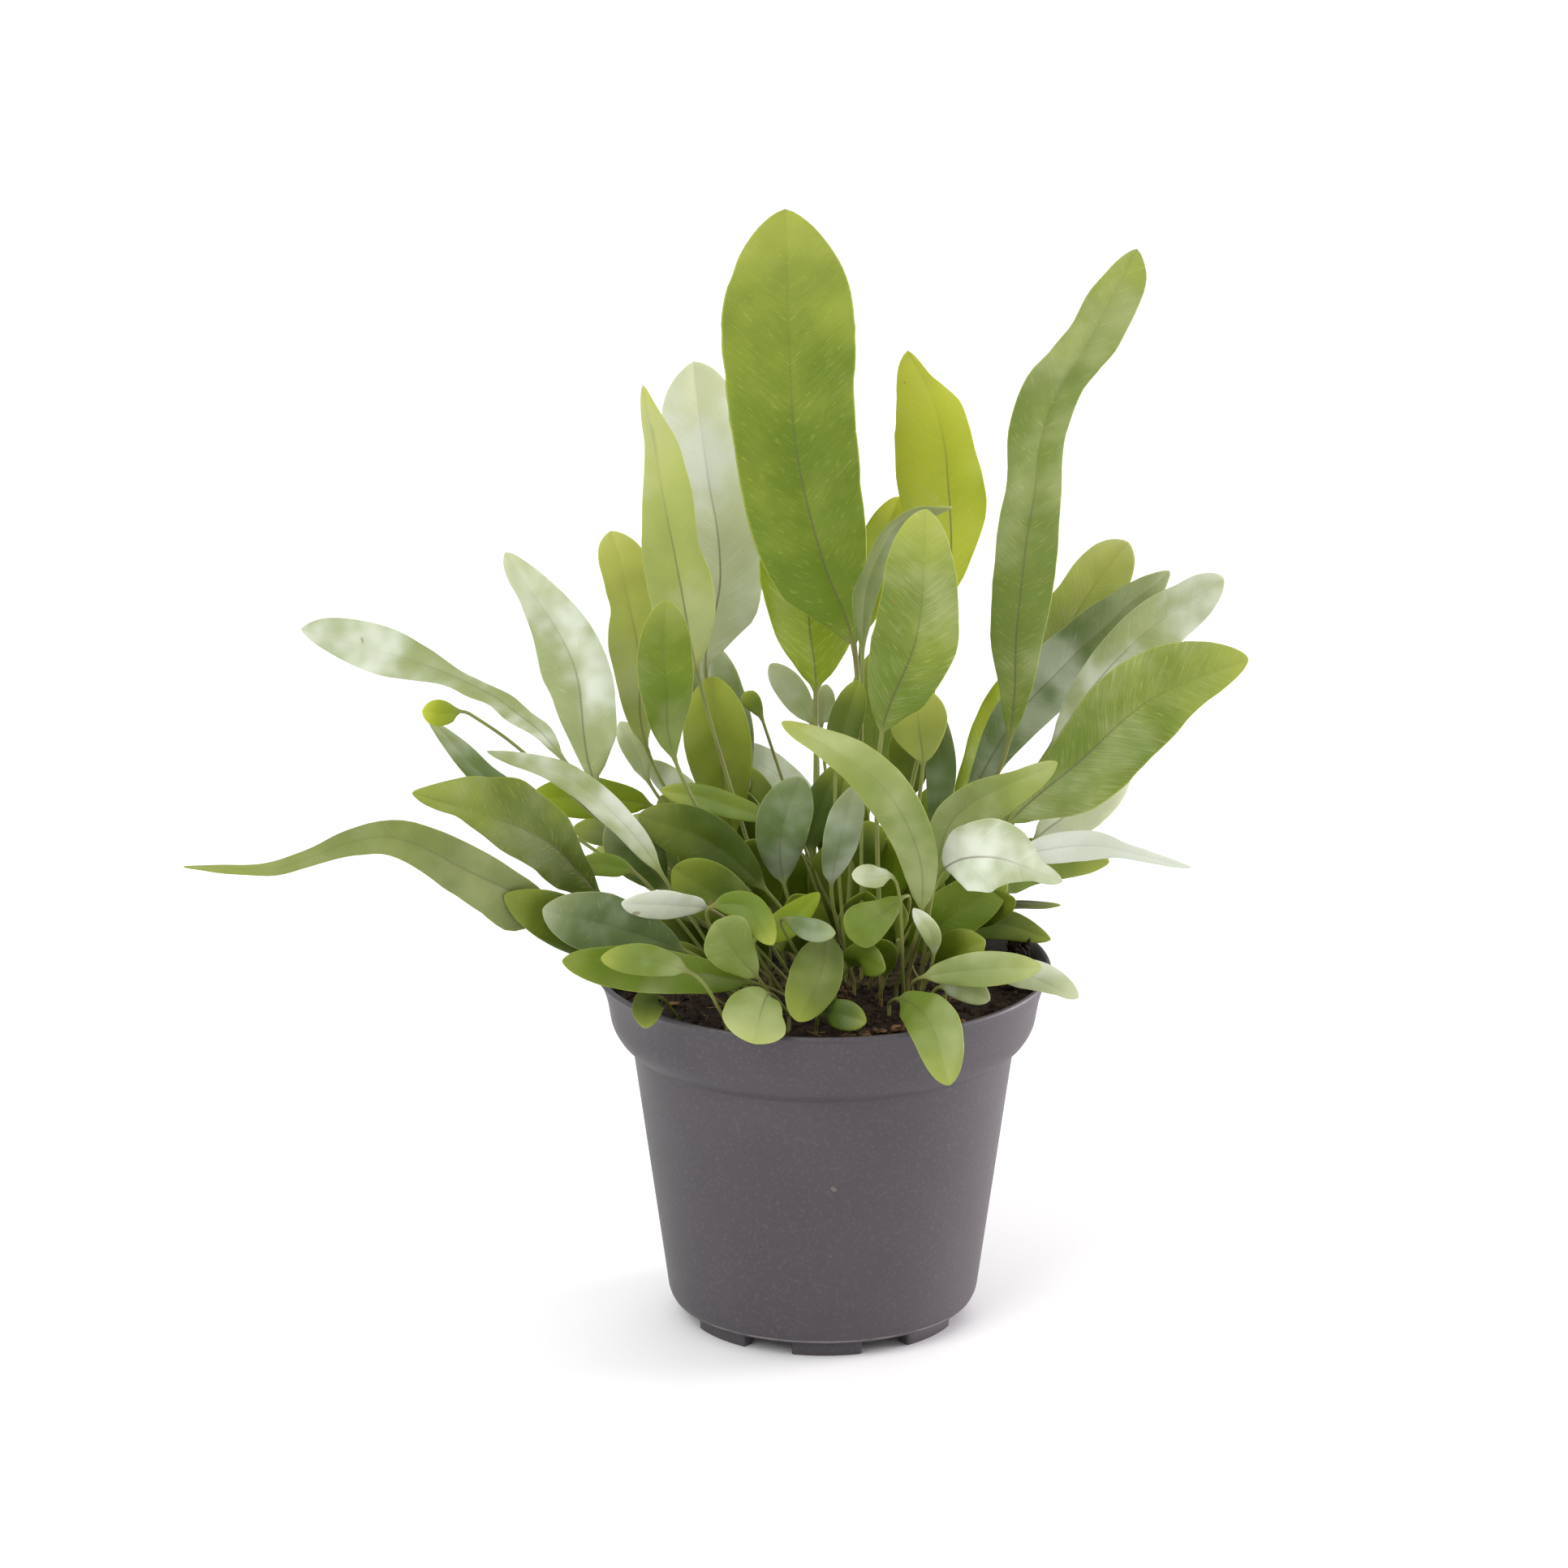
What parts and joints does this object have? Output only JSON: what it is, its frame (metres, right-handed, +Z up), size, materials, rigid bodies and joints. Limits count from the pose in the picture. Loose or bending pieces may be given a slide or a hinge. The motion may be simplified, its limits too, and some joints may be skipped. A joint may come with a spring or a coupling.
{
  "type": "potted fern",
  "caption": "Bushy fern with strap and spoon shaped fronds rising from a creeping rhizome, in a tapered grey plastic nursery pot filled with dark potting mix.",
  "frame": {"origin": "middle of the pot's underside, on the surface the pot stands on", "axes": "+Z up along the pot's axis, -Y towards the plant's front, +X to the right seen from the front"},
  "size_m": [0.273, 0.1642, 0.297],
  "materials": {
    "pot_plastic": "satin grained grey polypropylene",
    "potting_mix": "dark crumbly peat and bark mix, fully matte",
    "rhizome": "tan scaly rhizome, matte",
    "frond_pale": "pale waxy bloom on grey-green leaf, soft sheen",
    "frond_bright": "young yellow-green leaf, soft sheen",
    "frond_sage": "sage green leaf, soft sheen",
    "frond_blue_green": "blue-green leaf, soft sheen",
    "frond_olive": "dark olive older leaf, soft sheen"
  },
  "bodies": {
    "root": {"nursery_pot": "pot_plastic", "potting_mix": "potting_mix", "rhizome": "rhizome", "frond_tall_centre": "frond_sage", "frond_behind_centre": "frond_bright", "frond_back_left_pale": "frond_pale", "frond_left_upright": "frond_sage", "frond_left_behind": "frond_sage", "frond_left_spoon": "frond_sage", "frond_left_pale": "frond_pale", "frond_far_left": "frond_pale", "frond_left_bud": "frond_bright", "frond_left_edge": "frond_blue_green", "frond_long_pale_strap": "frond_pale", "frond_left_yellow_strap": "frond_bright", "frond_front_left_upper": "frond_olive", "frond_centre_left_olive": "frond_olive", "frond_front_left_long": "frond_olive", "frond_front_left_grey": "frond_blue_green", "frond_rim_left_broad": "frond_sage", "frond_rim_left_small": "frond_sage", "frond_curled_round": "frond_sage", "frond_pale_spoon": "frond_pale", "frond_curled_strap": "frond_sage", "frond_rim_bright": "frond_sage", "frond_front_centre_down": "frond_olive", "frond_arching_front": "frond_sage", "frond_dark_tall_left": "frond_olive", "frond_behind_pale": "frond_pale", "frond_centre_grey": "frond_blue_green", "frond_centre_olive_narrow": "frond_olive", "frond_grey_strap": "frond_blue_green", "frond_centre_dark": "frond_olive", "frond_centre_round": "frond_sage", "frond_right_wavy": "frond_sage", "frond_white_spoon": "frond_pale", "frond_right_pale_low": "frond_pale", "frond_big_right": "frond_sage", "frond_right_yellow": "frond_pale", "frond_right_blue": "frond_pale", "frond_right_grey_tall": "frond_blue_green", "frond_back_right_broad": "frond_sage", "frond_right_tall": "frond_sage", "frond_back_pointed": "frond_bright", "frond_back_yellow": "frond_bright", "frond_front_spoon": "frond_sage", "frond_arched_edge": "frond_blue_green", "frond_centre_narrow": "frond_olive", "frond_behind_peek": "frond_pale", "frond_behind_spoon": "frond_sage", "frond_right_dark": "frond_olive", "frond_right_blue_narrow": "frond_blue_green", "frond_rim_right_light": "frond_sage", "frond_rim_right_pale": "frond_pale", "frond_rim_right_back": "frond_olive", "frond_front_drop": "frond_sage", "frond_left_grey_broad": "frond_blue_green", "frond_left_low_dark": "frond_olive", "frond_back_rim_left": "frond_sage", "frond_back_rim_right": "frond_blue_green"}
  },
  "joints": []
}
